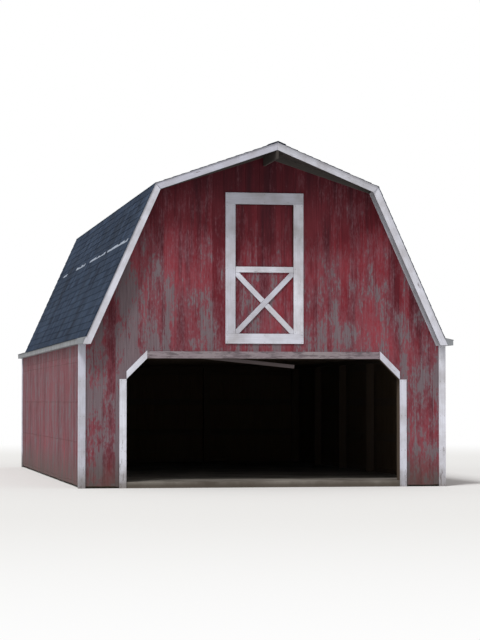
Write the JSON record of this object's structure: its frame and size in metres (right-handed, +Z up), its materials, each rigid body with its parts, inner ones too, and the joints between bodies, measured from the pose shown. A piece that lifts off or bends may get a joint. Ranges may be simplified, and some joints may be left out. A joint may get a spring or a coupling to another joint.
{
  "type": "gambrel barn",
  "caption": "Small red gambrel barn with an open drive-in doorway, a cross-braced loft door, white trim and a shingled roof whose front end stands out as a hay hood",
  "frame": {"origin": "on the ground under the middle of the building, at the centre of the floor slab's underside", "axes": "+X to the right seen from the front, across the gable; +Y along the ridge from the doorway end to the rear wall; +Z up"},
  "size_m": [6.286, 13.7369, 5.5788],
  "materials": {
    "concrete": "broom-finished grey concrete, dusty",
    "framing_timber": "rough sawn softwood, bare and greyed",
    "wall_boards": "rough boards, red barn paint, faded and worn grey low down",
    "white_trim": "sawn boards, white paint, chalky and weathered",
    "head_trim": "sawn board, white paint worn off to grey wood",
    "roof_boards": "sawn boards, pale paint outside the walls",
    "shingles": "bitumen shingles with dark blue-grey stone granules"
  },
  "bodies": {
    "root": {"floor_slab": "concrete", "side_posts": "framing_timber", "rear_posts": "framing_timber", "door_posts": "framing_timber", "side_girts": "framing_timber", "front_girts": "framing_timber", "rear_girts": "framing_timber", "side_plates": "framing_timber", "rear_plate": "framing_timber", "door_braces": "framing_timber", "door_header": "framing_timber", "loft_door_frame": "framing_timber", "barge_rafters": "framing_timber", "loft_joists": "framing_timber", "loft_floor": "framing_timber", "left_rafters": "framing_timber", "right_rafters": "framing_timber", "ridge_board": "framing_timber", "left_wall": "wall_boards", "right_wall": "wall_boards", "rear_wall": "wall_boards", "front_wall_left": "wall_boards", "front_wall_right": "wall_boards", "front_wall_over": "wall_boards", "loft_door_upper": "wall_boards", "loft_door_lower": "wall_boards", "front_corner_boards": "white_trim", "rear_corner_boards": "white_trim", "door_casings": "white_trim", "door_slant_boards": "white_trim", "loft_door_casing": "white_trim", "loft_door_cross": "white_trim", "front_rakes": "white_trim", "rear_rakes": "white_trim", "front_frieze": "white_trim", "rear_frieze": "white_trim", "eave_boards": "white_trim", "door_head_casing": "head_trim", "loose_head_board": "head_trim", "left_roof_deck": "roof_boards", "right_roof_deck": "roof_boards", "left_shingles": "shingles", "right_shingles": "shingles", "ridge_cap": "shingles", "eave_strips": "shingles"}
  },
  "joints": []
}
